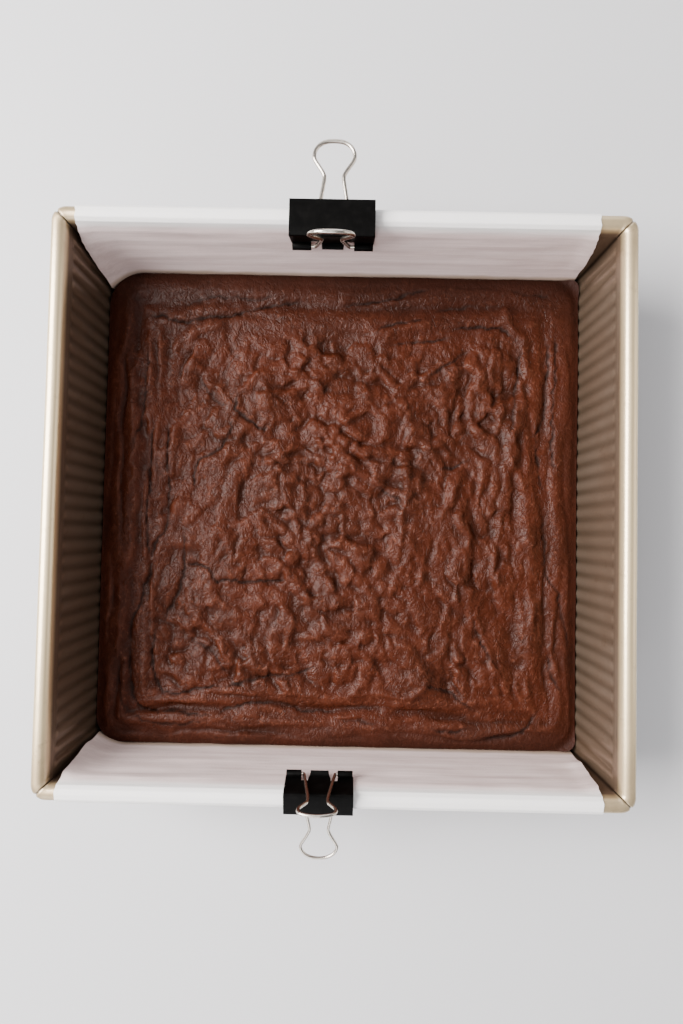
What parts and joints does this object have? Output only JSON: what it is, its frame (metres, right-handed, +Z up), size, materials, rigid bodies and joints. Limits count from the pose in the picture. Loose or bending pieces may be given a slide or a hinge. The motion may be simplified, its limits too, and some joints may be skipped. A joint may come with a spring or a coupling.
{
  "type": "chocolate brownie in baking tin",
  "caption": "Whole square slab of chocolate brownie with a crackled crust, in a ribbed metal baking tin lined with clipped parchment.",
  "frame": {"origin": "middle of the tin's underside, on the surface that it stands on", "axes": "+Z up; +Y across the tin towards the larger clip, -Y towards the smaller clip; +X to the right of the larger clip seen from above"},
  "size_m": [0.22, 0.2784, 0.0748],
  "materials": {
    "gold_tone_steel": "satin gold-tone coating on folded steel sheet",
    "parchment": "matt, slightly greaseproof",
    "brownie_crust": "satin, crackled",
    "black_clip": "semi-gloss black",
    "bright_wire": "bright nickel"
  },
  "bodies": {
    "tin_and_contents": {"tin": "gold_tone_steel", "parchment": "parchment", "brownie": "brownie_crust", "large_clip_body": "black_clip", "small_clip_body": "black_clip"},
    "large_inner_handle": {"large_clip_inner_handle": "bright_wire"},
    "large_outer_handle": {"large_clip_outer_handle": "bright_wire"},
    "small_inner_handle": {"small_clip_inner_handle": "bright_wire"},
    "small_outer_handle": {"small_clip_outer_handle": "bright_wire"}
  },
  "joints": [
    {"name": "large_inner_handle_hinge", "type": "hinge", "parent": "tin_and_contents", "child": "large_inner_handle", "pos_m": [-0.00445, 0.10031, 0.04565], "axis": [1, 0, 0], "range_deg": [0, 130]},
    {"name": "large_outer_handle_hinge", "type": "hinge", "parent": "tin_and_contents", "child": "large_outer_handle", "pos_m": [-0.00445, 0.1125, 0.04589], "axis": [1, 0, 0], "range_deg": [-94, 86]},
    {"name": "small_inner_handle_hinge", "type": "hinge", "parent": "tin_and_contents", "child": "small_inner_handle", "pos_m": [-0.00505, -0.10033, 0.04887], "axis": [1, 0, 0], "range_deg": [-180, 0]},
    {"name": "small_outer_handle_hinge", "type": "hinge", "parent": "tin_and_contents", "child": "small_outer_handle", "pos_m": [-0.00505, -0.11232, 0.04543], "axis": [1, 0, 0], "range_deg": [-98, 79]}
  ]
}
